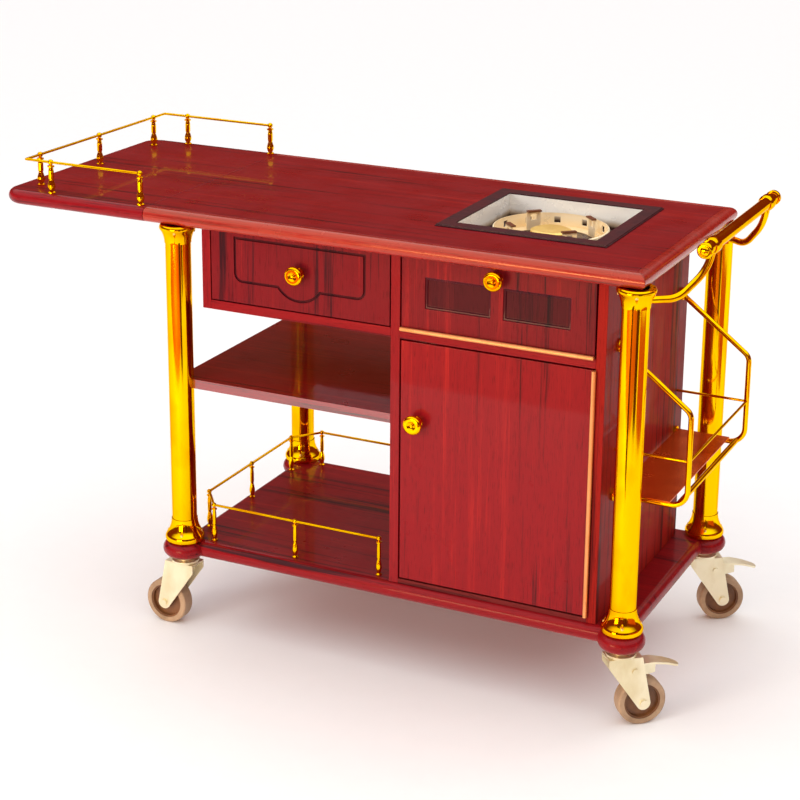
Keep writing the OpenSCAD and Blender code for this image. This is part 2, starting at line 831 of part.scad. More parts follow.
// The brass burner head: a dished cap on a foot, its throat down through the tray
module burner_head() {
    color(gold) translate([burner_x, burner_y, tray_floor]) rotate_extrude() difference() {
        polygon([[mixer_r + seat_gap, -throat_len], [throat_r, -throat_len], [throat_r, 0], [head_r, 0],
            [head_r, 3], [throat_r + 6, 7], [throat_r + 6, 11], [head_r - 2, 13], [head_r + 4, 16],
            [head_r + 4, 20], [head_r - 4, 23], [0, 19], [0, 8], [mixer_r + seat_gap, 8]]);
        translate([head_r + 4, 18]) circle(r = 1.2);
    }
}

// The windowed ring round the burner with its four pan lugs
module pan_ring() {
    r = pan_ring_d / 2;
    step = 360 / ring_windows;
    color(steel) translate([burner_x, burner_y, tray_floor]) {
        difference() {
            union() {
                cylinder(r = r, h = pan_ring_h);
                translate([0, 0, pan_ring_h]) rotate_extrude() translate([r - ring_wall, 0])
                    circle(r = ring_wall);
            }
            translate([0, 0, ring_wall / 2]) cylinder(r = r - ring_wall, h = 2 * pan_ring_h);
            translate([0, 0, -cut]) cylinder(r = r - ring_foot, h = pan_ring_h);
            for (k = [0 : ring_windows - 1]) rotate([0, 0, (k + 0.5) * step])
                block([r - 2 * ring_wall, -lug_hole / 2, pan_ring_h * 0.3],
                    [r + cut, lug_hole / 2, pan_ring_h * 0.8]);
        }
        for (k = [0 : 3]) rotate([0, 0, 45 + 90 * k]) difference() {
            union() {
                block([r - ring_foot, -lug_w / 2, 0], [r - ring_foot + lug_t, lug_w / 2, lug_h]);
                block([r - ring_foot - 2 * lug_t, -lug_w / 2, lug_h - lug_t],
                    [r - ring_foot + lug_t, lug_w / 2, lug_h]);
            }
            block([r - ring_foot - cut, -lug_hole / 2, lug_h / 2], [r, lug_hole / 2, lug_h / 2 + lug_hole]);
        }
    }
}

// The gas valve behind the control panel, its mixing tube to the burner and its gas inlet
module gas_valve() {
    valve_y = panel_y + panel_sheet;
    color(steel) {
        translate([burner_x, burner_y, mixer_z]) cylinder(r = mixer_r, h = tray_floor - mixer_z - 4);
        translate([burner_x, burner_y, mixer_z]) sphere(r = mixer_r);
        rod([burner_x, valve_y + valve_len - cut, mixer_z], [burner_x, burner_y, mixer_z], mixer_r);
        rod([burner_x, valve_y, mixer_z], [burner_x, valve_y + valve_len, mixer_z], valve_r);
        rod([burner_x, valve_y + valve_len / 2, mixer_z - valve_r - 16],
            [burner_x, valve_y + valve_len / 2, mixer_z], 5);
        rod([burner_x, panel_y - nut_h - shaft_len, mixer_z], [burner_x, valve_y + cut, mixer_z], shaft_r);
        difference() {
            rod([burner_x, panel_y - nut_h, mixer_z], [burner_x, panel_y, mixer_z], 2 * shaft_r + 1);
            rod([burner_x, panel_y - 2 * nut_h, mixer_z], [burner_x, valve_y, mixer_z], shaft_r - 0.5);
        }
    }
}

// The folded sheet panel that carries the valve, hung under the worktop
module control_panel() {
    low = mixer_z - control_below;
    color(dark) difference() {
        union() {
            block([burner_x - control_w / 2, panel_y, low],
                [burner_x + control_w / 2, panel_y + panel_sheet, top_low]);
            block([burner_x - control_w / 2, panel_y, top_low - panel_sheet],
                [burner_x + control_w / 2, panel_y + control_flange, top_low]);
        }
        translate([burner_x, panel_y - cut, mixer_z]) rotate([-90, 0, 0])
            cylinder(r = shaft_r + seat_gap, h = panel_sheet + 2 * cut);
    }
}

// The knob that turns the gas valve
module burner_knob() {
    color(dark) translate([burner_x, panel_y - nut_h - face_gap, mixer_z]) rotate([90, 0, 0]) difference() {
        union() {
            cylinder(r = burner_knob_r, h = burner_knob_h * 0.4);
            intersection() {
                cylinder(r = burner_knob_r - 1, h = burner_knob_h);
                block([-4.5 - shaft_r / 2, -burner_knob_r, 0],
                    [4.5 + shaft_r / 2, burner_knob_r, burner_knob_h]);
            }
        }
        translate([0, 0, -cut]) cylinder(r = shaft_r + run_gap, h = shaft_len + cut);
    }
}

// The channel of a drawer runner along Y, its skin against x = 0 and its mouth towards +X
module runner_channel(len) {
    h = runner_h / 2;
    difference() {
        block([0, 0, -h], [9, len, h]);
        block([runner_skin, -cut, runner_skin - h], [10, len + cut, h - runner_skin]);
    }
}

// The slider of a drawer runner, which runs inside the channel, its skin against x = side_space
module runner_slider(len) {
    h = runner_h / 2 - runner_skin - face_gap;
    difference() {
        block([runner_skin + face_gap, 0, -h], [side_space, len, h]);
        block([0, -cut, runner_skin - h], [side_space - runner_skin, len + cut, h - runner_skin]);
    }
}

// The fixed channels of the drawer runners
module housing_runners() {
    color(steel) for (s = [0, 1]) translate([s > 0 ? -divider_x : -case_in, flap_inner_y + 4, runner_z])
        mirror([s, 0, 0]) runner_channel(drawer_len - 20);
}

// The sliders on the drawer's sides
module drawer_runners() {
    color(steel) for (s = [0, 1]) translate([s > 0 ? -divider_x : -case_in, flap_inner_y + 2, runner_z])
        mirror([s, 0, 0]) runner_slider(drawer_len - 14);
}

// The outline of the drawer front's groove, drawn in by inset
module groove_outline(inset) {
    half = (drawer_right - drawer_left) / 2 - groove_side - inset;
    low = groove_low + inset;
    high = groove_high - inset;
    r = groove_corner - inset;
    translate([-half, low + r]) square([2 * half, high - low - r]);
    translate([r - half, low]) square([2 * (half - r), r + cut]);
    for (s = [-1, 1]) translate([s * (half - r), low + r]) circle(r = r);
    intersection() {
        translate([0, drawer_knob_at[2]]) circle(r = groove_dip - inset);
        translate([-half, 0]) square([2 * half, high]);
    }
}

// The drawer front with a routed groove that dips round the knob
module drawer_front() {
    color(wood) difference() {
        block([drawer_left, face_y, drawer_low], [drawer_right, face_y + panel_t, drawer_top]);
        translate([drawer_mid, face_y + groove_deep, 0]) rotate([90, 0, 0])
            linear_extrude(height = groove_deep + cut) difference() {
                groove_outline(0);
                groove_outline(groove_w);
            }
    }
}

// The open drawer box behind its front
module drawer_box() {
    w = drawer_wall;
    color(dark_wood) difference() {
        block([box_left, flap_inner_y, box_low], [box_right, flap_inner_y + drawer_len, box_low + drawer_h]);
        block([box_left + w, flap_inner_y + w, box_low + w / 2],
            [box_right - w, flap_inner_y + drawer_len - w, box_low + drawer_h + cut]);
    }
}

// The drawer's knob
module drawer_knob() {
    color(gold) knob(drawer_knob_at);
}

// The fall flap with its two sunk panels
module flap_board() {
    color(wood) difference() {
        block([door_left, face_y, flap_low], [flap_right, face_y + panel_t, flap_top]);
        for (s = [0, 1]) translate([flap_mid, face_y, 0]) mirror([s, 0, 0]) {
            w = flap_right - flap_mid - panel_stile;
            block([panel_half_mullion, -cut, panel_low], [w, panel_sunk / 2, panel_high]);
            block([panel_half_mullion + panel_step, -cut, panel_low + panel_step],
                [w - panel_step, panel_sunk, panel_high - panel_step]);
        }
    }
}

// The flap's knob
module flap_knob() {
    color(gold) knob(flap_knob_at);
}

// The door between the cabinet floor and the rail board
module door_board() {
    color(wood) block([door_left, face_y, door_low], [door_right, face_y + panel_t, door_top]);
}

// The door's knob
module door_knob() {
    color(gold) knob(door_knob_at);
}

// Places of the two piano hinges: the door's along Z, the flap's along X
module door_hinge_place() {
    translate([door_axis_x, hinge_y, door_low]) children();
}
module flap_hinge_place() {
    translate([door_left, hinge_y, flap_axis_z]) rotate([0, 90, 0]) children();
}

// The hinge leaves that are screwed to the case, with the pins
module case_hinge_leaves() {
    color(gold) {
        door_hinge_place() piano_half(door_hinge_len, door_knuckles, true);
        flap_hinge_place() piano_half(flap_hinge_len, flap_knuckles, true);
    }
}

// The hinge leaf on the door
module door_hinge_leaf() {
    color(gold) door_hinge_place() piano_half(door_hinge_len, door_knuckles, false);
}

// The hinge leaf on the flap
module flap_hinge_leaf() {
    color(gold) flap_hinge_place() piano_half(flap_hinge_len, flap_knuckles, false);
}

// Magnet catches that hold the door and the flap
module magnet_catches() {
    color(steel) {
        translate([door_left + 20, flap_inner_y + face_gap, housing_z - 14]) cube([40, 16, 14]);
        translate([flap_right - 60, flap_inner_y + face_gap, top_low - 14]) cube([40, 16, 14]);
    }
}

// Half of each leaf hinge: the fixed half has the outer knuckles and the pin
module leaf_hinges(fixed) {
    side = fixed ? 0 : 1;
    r = leaf_hinge_r;
    w = leaf_hinge_w;
    third = w / 3;
    spans = fixed ? [[-w / 2, -w / 2 + third - face_gap], [w / 2 - third + face_gap, w / 2]]
        : [[-third / 2, third / 2]];
    for (y = leaf_hinge_y) translate([seam_x, y, leaf_hinge_z]) mirror([side, 0, 0]) {
        difference() {
            union() {
                block([r + 0.5, -w / 2, r + face_gap - leaf_plate_t],
                    [leaf_hinge_plate, w / 2, r + face_gap]);
                for (k = spans) {
                    rod([0, k[0], 0], [0, k[1], 0], r);
                    block([0, k[0], r + face_gap - leaf_plate_t], [r + 1, k[1], r + face_gap]);
                }
            }
            if (!fixed) rod([0, -w, 0], [0, w, 0], leaf_hinge_pin_r + run_gap);
        }
        if (fixed) rod([0, -w / 2, 0], [0, w / 2, 0], leaf_hinge_pin_r);
    }
}

// The leaf hinges' halves under the worktop
module leaf_hinge_fixed() {
    color(steel) leaf_hinges(true);
}

// The leaf hinges' halves under the leaf
module leaf_hinge_moving() {
    color(steel) leaf_hinges(false);
}

// The folding leaf: half-round on three edges, its left corners round
module leaf_board() {
    r = top_t / 2;
    right = seam_x - leaf_gap;
    cx = leaf_end + leaf_corner_r;
    cy = top_y - leaf_corner_r;
    color(wood) translate([0, 0, top_low]) {
        block([cx, r - top_y, 0], [right, top_y - r, top_t]);
        block([leaf_end + r, -cy, 0], [cx, cy, top_t]);
        rod([leaf_end + r, -cy, r], [leaf_end + r, cy, r], r);
        for (s = [-1, 1]) {
            rod([cx, s * (top_y - r), r], [right, s * (top_y - r), r], r);
            translate([cx, s * cy, 0]) rotate([0, 0, 135 - 45 * s]) nose_disc(2 * leaf_corner_r, top_t, 90);
        }
    }
}

// The turned posts of the leaf gallery
module leaf_gallery_posts() {
    color(gold) difference() {
        for (p = leaf_posts) translate([p[0], p[1], top_z])
            gallery_post(leaf_rail_h, leaf_baluster_d);
        rod_path(leaf_rail, rail_d / 2 + run_gap);
    }
}

// The rod that runs round the leaf gallery
module leaf_gallery_rail() {
    color(gold) rod_path(leaf_rail, rail_d / 2);
}

// The casters' fixed caps, collars and stems, up through the deck with a nut inside each post
module caster_stems() {
    low = crown_z - boss_h - face_gap;
    color(zinc) for (p = posts_at) translate([p[0] * post_x, p[1] * post_y, 0]) {
        translate([0, 0, low - stem_head]) cylinder(r = stem_r + 4, h = stem_head);
        translate([0, 0, low - stem_head]) cylinder(r = stem_r, h = deck_top + 14 - low + stem_head);
        translate([0, 0, crown_z + face_gap]) cylinder(d = cap_d, h = cap_h);
        translate([0, 0, crown_z + face_gap]) cylinder(d = collar_d, h = collar_h);
        translate([0, 0, deck_top]) cylinder(d = nut_d, h = 8);
    }
}

// Where a line from point p touches the circle round c, on the side that turn gives
function touch(p, c, r, turn) =
    let (v = p - c, a = atan2(v[1], v[0]) + turn * acos(r / norm(v))) c + r * [cos(a), sin(a)];

// One side plate of a fork in the plane of the wheel
module fork_side(brake) {
    eye = [trail, axle_z];
    back = [-fork_back, crown_z];
    skirt = [-fork_back, crown_z - fork_skirt];
    front = [fork_front, crown_z];
    difference() {
        union() {
            polygon([back, skirt, touch(skirt, eye, fork_eye_r, 1), eye,
                touch(front, eye, fork_eye_r, -1), front]);
            translate(eye) circle(r = fork_eye_r);
        }
        translate(eye) circle(r = axle_r + seat_gap);
        if (brake) translate([pedal_x, pedal_z]) circle(r = pedal_pin_r + seat_gap);
    }
}

// A rod across a fork with a head at each end
module cross_pin(x, z, r, half, head) {
    rod([x, -half - head, z], [x, half + head, z], r);
    for (s = [-1, 1]) rod([x, s * (half + seat_gap), z], [x, s * (half + seat_gap + head), z], r + 3);
}

// Puts a caster's parts at post i, the wheel trailing along +X
module caster_place(i) {
    translate([posts_at[i][0] * post_x, posts_at[i][1] * post_y, 0]) rotate([0, 0, trail_turn[i]]) children();
}

// One swivelling fork with its axle and, where it has a brake, the pedal's pin
module fork(i) {
    half = fork_in / 2 + fork_t;
    brake = has_brake[i];
    color(zinc) caster_place(i) {
        difference() {
            union() {
                for (s = [-1, 1]) translate([0, s > 0 ? half : fork_t - half, 0]) rotate([90, 0, 0])
                    linear_extrude(height = fork_t) fork_side(brake);
                block([-fork_back, -half, crown_z - fork_t], [fork_front, half, crown_z]);
                translate([0, 0, crown_z - boss_h]) cylinder(d = boss_d, h = boss_h);
            }
            translate([0, 0, crown_z - 2 * boss_h]) cylinder(r = stem_r + run_gap, h = 3 * boss_h);
        }
        cross_pin(trail, axle_z, axle_r, half, axle_head);
        if (brake) cross_pin(pedal_x, pedal_z, pedal_pin_r, half, 2);
    }
}

// One caster wheel: a hub disc and a tyre
module wheel(i) {
    rim_r = wheel_d / 2 - tread_t;
    side = fork_in / 2 - face_gap;
    w = wheel_w / 2;
    color(tan) caster_place(i) translate([trail, 0, axle_z]) rotate([90, 0, 0]) rotate_extrude() {
        polygon([[axle_r + run_gap, -side], [hub_r, -side], [hub_r + 1, -web_half],
            [rim_r - rim_t, -web_half], [rim_r - rim_t + 1, 2 - w], [rim_r, 2 - w], [rim_r, w - 2],
            [rim_r - rim_t + 1, w - 2],
            [rim_r - rim_t, web_half], [hub_r + 1, web_half], [hub_r, side], [axle_r + run_gap, side]]);
        difference() {
            translate([rim_r + seat_gap, -w]) square([tread_t - seat_gap, 2 * w]);
            for (s = [0, 1]) mirror([0, s]) translate([wheel_d / 2 - 4, w - 4]) difference() {
                square(5);
                circle(r = 4);
            }
        }
    }
}

// A brake pedal's lever from the side: it rises off its pin, then droops to the toe
module pedal_side() {
    top = pedal_z + pedal_hub_r;
    line = [[0, 0], [12, pedal_rise - 1], [36, pedal_rise], [62, 1], [pedal_len, -pedal_droop]];
    polygon(concat(
        [for (p = line) [pedal_x + p[0], top + p[1]]],
        [for (k = [len(line) - 1 : -1 : 0]) [pedal_x + line[k][0], top + line[k][1] - pedal_t]]));
}

// A brake pedal's lever from above: broad at the root, narrow and round at the toe
module pedal_plan() {
    toe = pedal_x + pedal_len - pedal_toe_w / 2;
    polygon([[pedal_x, -pedal_w / 2], [shoe_at + 18, -pedal_w / 2], [toe, -pedal_toe_w / 2],
        [toe, pedal_toe_w / 2], [shoe_at + 18, pedal_w / 2], [pedal_x, pedal_w / 2]]);
    translate([toe, 0]) circle(d = pedal_toe_w);
}

// A brake shoe from the side, level above the tread
module shoe_side() {
    low = wheel_d + shoe_gap;
    top = pedal_z + pedal_hub_r + pedal_rise - pedal_t + 0.5;
    polygon([[shoe_at - 8, low], [shoe_at + 6, low], [shoe_at + 20, low + 3], [shoe_at + 20, top],
        [shoe_at - 8, top]]);
}

// One brake pedal: a hub on the pin, a bent lever out over the wheel and a shoe above the tread
module brake_pedal(i) {
    half = fork_in / 2 - face_gap;
    color(zinc) caster_place(i) difference() {
        union() {
            rod([pedal_x, -half, pedal_z], [pedal_x, half, pedal_z], pedal_hub_r);
            intersection() {
                translate([0, half, 0]) rotate([90, 0, 0]) linear_extrude(height = 2 * half) pedal_side();
                linear_extrude(height = crown_z) pedal_plan();
            }
            translate([0, shoe_w / 2, 0]) rotate([90, 0, 0]) linear_extrude(height = shoe_w) shoe_side();
        }
        rod([pedal_x, -half - cut, pedal_z], [pedal_x, half + cut, pedal_z], pedal_pin_r + run_gap);
    }
}

deck_board();
worktop();
worktop_nosing();
post(0);  // post_front_left
post(1);  // post_front_right
post(2);  // post_rear_right
post(3);  // post_rear_left
foot_flanges();
head_flanges();
cabinet_side();
cabinet_divider();
cabinet_floor();
housing_side();
housing_floor();
flap_rail_board();
back_panels();
mid_shelf();
shelf_pins();
deck_gallery_posts();
deck_gallery_rail();
rack_frame();
rack_floor();
handle_brackets();
handle_grip();
burner_frame();
burner_tray();
burner_head();
pan_ring();
gas_valve();
control_panel();
housing_runners();
case_hinge_leaves();
leaf_hinge_fixed();
magnet_catches();
caster_stems();
burner_knob();
leaf_board();
leaf_gallery_posts();
leaf_gallery_rail();
leaf_hinge_moving();
drawer_front();
drawer_box();
drawer_knob();
drawer_runners();
flap_board();
flap_knob();
flap_hinge_leaf();
door_board();
door_knob();
door_hinge_leaf();
fork(0);  // fork_front_left
fork(1);  // fork_front_right
fork(2);  // fork_rear_right
fork(3);  // fork_rear_left
wheel(0);  // wheel_front_left
wheel(1);  // wheel_front_right
wheel(2);  // wheel_rear_right
wheel(3);  // wheel_rear_left
brake_pedal(1);  // brake_pedal_front_right
brake_pedal(2);  // brake_pedal_rear_right
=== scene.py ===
# %% [markdown]
# # A kitchen serving cart in red lacquered wood and polished brass
# The cart's solids come ready from the CAD step, in metres and in place.
# This lesson dresses them: every board, tube, knob and wheel gets the edges, the
# smooth curves and the finish that its real counterpart has.
# The first cell loads the solids and notes the box that they fill, so that the last
# cell can show that the dressed cart still has the same size.

# %% Load the solids
import json
import math
import bmesh
import bpy
from mathutils import Matrix, Vector

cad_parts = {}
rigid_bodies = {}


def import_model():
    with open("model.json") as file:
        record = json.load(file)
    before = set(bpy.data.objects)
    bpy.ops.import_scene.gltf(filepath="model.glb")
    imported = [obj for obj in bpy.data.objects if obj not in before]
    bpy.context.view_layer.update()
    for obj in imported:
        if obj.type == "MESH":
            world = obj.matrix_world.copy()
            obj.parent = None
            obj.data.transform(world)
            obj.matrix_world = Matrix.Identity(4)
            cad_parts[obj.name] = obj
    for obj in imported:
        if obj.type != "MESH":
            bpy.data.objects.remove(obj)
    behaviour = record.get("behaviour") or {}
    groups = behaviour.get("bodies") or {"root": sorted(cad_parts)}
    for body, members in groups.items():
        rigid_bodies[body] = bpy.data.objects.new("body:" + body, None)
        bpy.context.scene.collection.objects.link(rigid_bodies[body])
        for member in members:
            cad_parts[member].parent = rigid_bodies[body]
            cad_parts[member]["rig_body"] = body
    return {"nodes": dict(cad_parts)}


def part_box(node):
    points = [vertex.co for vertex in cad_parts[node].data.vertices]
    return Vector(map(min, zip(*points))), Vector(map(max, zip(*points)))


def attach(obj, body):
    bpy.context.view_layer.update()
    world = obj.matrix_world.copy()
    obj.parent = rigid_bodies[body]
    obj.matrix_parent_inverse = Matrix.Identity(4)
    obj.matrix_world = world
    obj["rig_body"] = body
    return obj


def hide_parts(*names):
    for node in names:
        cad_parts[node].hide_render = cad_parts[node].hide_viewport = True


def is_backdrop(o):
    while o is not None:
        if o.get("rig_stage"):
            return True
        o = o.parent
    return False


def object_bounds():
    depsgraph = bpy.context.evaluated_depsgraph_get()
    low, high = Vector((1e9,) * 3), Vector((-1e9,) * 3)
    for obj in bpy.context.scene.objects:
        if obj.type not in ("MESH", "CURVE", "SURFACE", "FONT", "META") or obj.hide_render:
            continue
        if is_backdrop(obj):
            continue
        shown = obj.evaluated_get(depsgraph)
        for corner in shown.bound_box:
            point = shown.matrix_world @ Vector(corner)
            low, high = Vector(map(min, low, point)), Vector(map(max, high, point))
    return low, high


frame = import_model()
nodes = frame["nodes"]
cad_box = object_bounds()

# %% [markdown]
# ## The view
# The picture was taken from the right front corner, a little above the worktop, with a
# long lens. A camera that is placed by its azimuth, elevation and roll is easy to check,
# because each turn is one rotation about one axis. The small shift moves the picture on
# the film without turning the lens, as a cropped photograph does.

# %% Camera
FRAME_PX = 800
FOCAL_PX = 1987.04
CENTRE_PX = (424.7, 294.8)
CAMERA_PLACE = (1.47463, -3.28457, 1.75541)
AZIMUTH, ELEVATION, ROLL = (math.radians(turn) for turn in (24.949, 16.703, 0.705))


def add_object(name, data):
    thing = bpy.data.objects.new(name, data)
    bpy.context.scene.collection.objects.link(thing)
    return thing


camera_data = bpy.data.cameras.new("view")
camera_data.sensor_width = 36
camera_data.lens = FOCAL_PX / FRAME_PX * camera_data.sensor_width
camera_data.shift_x = (FRAME_PX / 2 - CENTRE_PX[0]) / FRAME_PX
camera_data.shift_y = (CENTRE_PX[1] - FRAME_PX / 2) / FRAME_PX
camera_data.clip_end = 100
camera = add_object("view", camera_data)
camera.matrix_world = (
    Matrix.Translation(CAMERA_PLACE)
    @ Matrix.Rotation(AZIMUTH, 4, "Z")
    @ Matrix.Rotation(math.pi / 2 - ELEVATION, 4, "X")
    @ Matrix.Rotation(ROLL, 4, "Z"))
bpy.context.scene.camera = camera
bpy.context.scene.view_settings.view_transform = "Standard"
print("lens in mm:", round(camera_data.lens, 1))

# %% [markdown]
# ## The floor
# The cart stands on a plain pale floor that is so large that its far edge is lost
# against the pale backdrop.

# %% Floor
FLOOR_HALF = 30

floor_mesh = bpy.data.meshes.new("floor")
bm = bmesh.new()
bmesh.ops.create_grid(bm, x_segments=2, y_segments=2, size=FLOOR_HALF)
bm.to_mesh(floor_mesh)
bm.free()
floor = add_object("floor", floor_mesh)
floor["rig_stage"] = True
print("floor edge in m:", 2 * FLOOR_HALF)

# %% [markdown]
# ## Building materials from nodes
# Small helpers keep each material short: one makes the material, one adds a node and
# sets its values, one adds a ramp of colours and one stretches a range of numbers.
# Naming the sockets instead of counting them keeps the recipes readable.

# %% Material helpers
def new_material(name):
    material = bpy.data.materials.new(name)
    material.use_nodes = True
    return material, material.node_tree, material.node_tree.nodes["Principled BSDF"]


def add_node(tree, kind, links=None, **values):
    node = tree.nodes.new(kind)
    for key, value in values.items():
        socket = key.replace("_", " ")
        if socket in node.inputs:
            node.inputs[socket].default_value = value
        else:
            setattr(node, key, value)
    for socket, source in (links or {}).items():
        tree.links.new(source, node.inputs[socket])
    return node


def add_ramp(tree, source, stops):
    ramp = tree.nodes.new("ShaderNodeValToRGB")
    elements = ramp.color_ramp.elements
    while len(elements) < len(stops):
        elements.new(0.5)
    for element, (place, colour) in zip(elements, stops):
        element.position = place
        element.color = (*colour, 1)
    tree.links.new(source, ramp.inputs["Fac"])
    return ramp.outputs["Color"]


def add_range(tree, source, low, high, to_low, to_high):
    node = add_node(tree, "ShaderNodeMapRange", {"Value": source})
    ends = {"From Min": low, "From Max": high, "To Min": to_low, "To Max": to_high}
    for socket, value in ends.items():
        node.inputs[socket].default_value = value
    return node.outputs["Result"]


print("material helpers ready")

# %% [markdown]
# ## Patterns
# Grain, clouds and scratches are all noise that is stretched along one direction, and a
# finish mixes two or three of them. The patterns read Object coordinates, which here are
# metres in the cart's own frame, so grain and wear keep their real size on every piece
# and stay where they are when a door or a drawer moves. A noise seldom leaves the
# middle of its range, so that middle is what gets spread over roughness or height.

# %% Pattern helpers
NOISE_LOW, NOISE_HIGH = 0.3, 0.7


def coordinate(tree, axis=None):
    place = add_node(tree, "ShaderNodeTexCoord").outputs["Object"]
    if axis is None:
        return place
    return add_node(tree, "ShaderNodeSeparateXYZ", {"Vector": place}).outputs[axis]


def noise(tree, scale, detail, distortion=0.0):
    place = add_node(tree, "ShaderNodeMapping", {"Vector": coordinate(tree)}, Scale=scale)
    node = add_node(tree, "ShaderNodeTexNoise", {"Vector": place.outputs["Vector"]},
                    Scale=1.0, Detail=detail, Distortion=distortion)
    return node.outputs["Fac"]


def spread(tree, source, low, high):
    return add_range(tree, source, NOISE_LOW, NOISE_HIGH, low, high)


def blend(tree, kind, factor, first, second, mode="MIX"):
    node = tree.nodes.new("ShaderNodeMix")
    node.data_type = kind
    node.blend_type = mode
    node.inputs["Factor"].default_value = factor
    tree.links.new(first, node.inputs["A"])
    tree.links.new(second, node.inputs["B"])
    return node.outputs["Result"]


def mix(tree, factor, first, second):
    return blend(tree, "FLOAT", factor, first, second)


def multiply(tree, first, second):
    return blend(tree, "RGBA", 1.0, first, second, "MULTIPLY")


def add_bump(tree, shader, height, strength, distance):
    node = add_node(tree, "ShaderNodeBump", {"Height": height},
                    Strength=strength, Distance=distance)
    tree.links.new(node.outputs["Normal"], shader.inputs["Normal"])


print("pattern helpers ready")

# %% [markdown]
# ## Lacquered mahogany
# The boards are stained deep red and sealed under a glossy lacquer. Broad figure lies
# under dark streaks, finer fibres run between them, and the pores are short dark dashes.
# Each of the four is one noise, given by how many waves a metre holds across and along
# the grain. The lacquer is the coat of the shader, smooth and clear above rougher wood.
# The groove routed in the drawer's front and the flap's sunk panels get painted shade. So
# a board may name its front face, and what lies a few millimetres behind it is painted darker.

# %% Wood recipe
FIGURE, STREAK, FIBRE, PORE = (11, 0.8), (75, 2.2), (420, 7), (900, 40)
WHITE, GROOVE_SHADE_TINT = (1, 1, 1), (0.36, 0.55, 0.8)
BOARD_DEPTH = 0.018
# Painted shade in the groove: darkest a few millimetres behind the front face.
GROOVE_PAINTED_SHADE = [(0.03, WHITE), (0.10, GROOVE_SHADE_TINT), (0.36, GROOVE_SHADE_TINT), (0.45, WHITE)]


def grain(tree, along, waves, detail, distortion=0.0):
    scale = tuple(waves[1] if axis == along else waves[0] for axis in "XYZ")
    return noise(tree, scale, detail, distortion)


def lacquered_wood(name, along, dark, middle, light, coat=0.6, roughness=0.32, sheen=0.08,
                   coat_ior=1.25, tint=WHITE, face=None):
    material, tree, shader = new_material(name)
    figure = grain(tree, along, FIGURE, 3, distortion=0.4)
    streaks = grain(tree, along, STREAK, 6)
    fibres = grain(tree, along, FIBRE, 3)
    pores = grain(tree, along, PORE, 2)
    pattern = mix(tree, 0.25, mix(tree, 0.42, streaks, figure), fibres)
    stops = [(0.385, dark), (0.465, middle), (0.55, middle), (0.64, light)]
    colour = add_ramp(tree, pattern, stops)
    colour = multiply(tree, colour, add_range(tree, pores, 0.3, 0.42, 0.55, 1.0))
    # Painted shade: what lies behind the named front face is darkened.
    if face is not None:
        inward = add_range(tree, coordinate(tree, "Y"), face, face + BOARD_DEPTH, 0, 1)
        colour = multiply(tree, colour, add_ramp(tree, inward, GROOVE_PAINTED_SHADE))
    tree.links.new(colour, shader.inputs["Base Color"])
    patches = noise(tree, (14, 14, 14), 5)
    rough = spread(tree, patches, roughness - 0.06, roughness + 0.1)
    tree.links.new(rough, shader.inputs["Roughness"])
    shader.inputs["Specular IOR Level"].default_value = sheen
    shader.inputs["Coat Weight"].default_value = coat
    shader.inputs["Coat Roughness"].default_value = 0.04
    shader.inputs["Coat IOR"].default_value = coat_ior
    shader.inputs["Specular Tint"].default_value = (*tint, 1)
    add_bump(tree, shader, fibres, 0.05, 0.0003)
    return material


print("wood recipe ready")

# %% [markdown]
# ## The boards' finishes
# One recipe serves all boards, because they were stained together. The grain stands
# upright on fronts and sides and lies lengthwise on flat boards. The drawer and the flap
# are cut from darker streaked stock. The nosing round the worktop is polished rounder,
# and its colours are painted lighter as a painted highlight along its edge. The shelf in
# the open bay has the thickest lacquer and mirrors the post behind it, the outer side is
# duller, and the hidden boards are plain.

# %% Wood finishes
RED_DARK, RED, RED_LIGHT = (0.045, 0.004, 0.007), (0.25, 0.006, 0.010), (0.38, 0.013, 0.012)

wood_upright = lacquered_wood("wood_upright", "Z", RED_DARK, RED, RED_LIGHT)
wood_flat = lacquered_wood("wood_flat", "X", RED_DARK, RED, RED_LIGHT)
wood_shelf = lacquered_wood("wood_shelf", "X", RED_DARK, RED, RED_LIGHT,
                            coat=1.0, coat_ior=2.0)
wood_front = lacquered_wood("wood_front", "Z", (0.035, 0.005, 0.010), (0.18, 0.007, 0.012),
                            (0.31, 0.012, 0.014), face=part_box("drawer_front")[0].y)
# The nosing's lighter colours are a painted highlight; its reflection is tinted orange.
wood_nosing_painted_highlight = lacquered_wood("wood_nosing_painted_highlight", "X", (0.16, 0.008, 0.008), (0.36, 0.015, 0.012),
                             (0.46, 0.025, 0.015), coat=0.35, roughness=0.22, sheen=1.0,
                             tint=(1.0, 0.58, 0.34))
wood_side = lacquered_wood("wood_side", "Z", (0.06, 0.005, 0.006), (0.30, 0.012, 0.008),
                           (0.46, 0.03, 0.010), coat=0.12, roughness=0.45, sheen=0.04)
inner_wood = lacquered_wood("inner_wood", "X", (0.05, 0.008, 0.008), (0.15, 0.012, 0.012),
                            (0.22, 0.02, 0.018), coat=0.3, roughness=0.5)
print("wood finishes:", 7)

# %% [markdown]
# ## Polished brass and steel
# The tubes are brass under a clear gold lacquer. Polished metal shows its surroundings,
# so most of its look comes from what stands near it. What the material adds is the deep
# yellow, faint cloudiness where hands have touched it, and hair-fine buffing marks,
# which run along the tube and so are noise stretched in one direction. The forks are
# plated steel, and their zinc is softer and yellower than the runners' bare steel.

# %% Metal finishes
def metal(name, colour, tarnish, smooth, dull, buff=(300, 300, 12), metallic=1.0, edge=WHITE):
    material, tree, shader = new_material(name)
    clouds = noise(tree, (16, 16, 9), 5)
    lines = noise(tree, buff, 3)
    paint = add_ramp(tree, clouds, [(0.3, tarnish), (0.52, colour), (1.0, colour)])
    tree.links.new(paint, shader.inputs["Base Color"])
    rough = spread(tree, mix(tree, 0.35, clouds, lines), smooth, dull)
    tree.links.new(rough, shader.inputs["Roughness"])
    shader.inputs["Metallic"].default_value = metallic
    shader.inputs["Specular Tint"].default_value = (*edge, 1)
    add_bump(tree, shader, lines, 0.04, 0.0002)
    return material


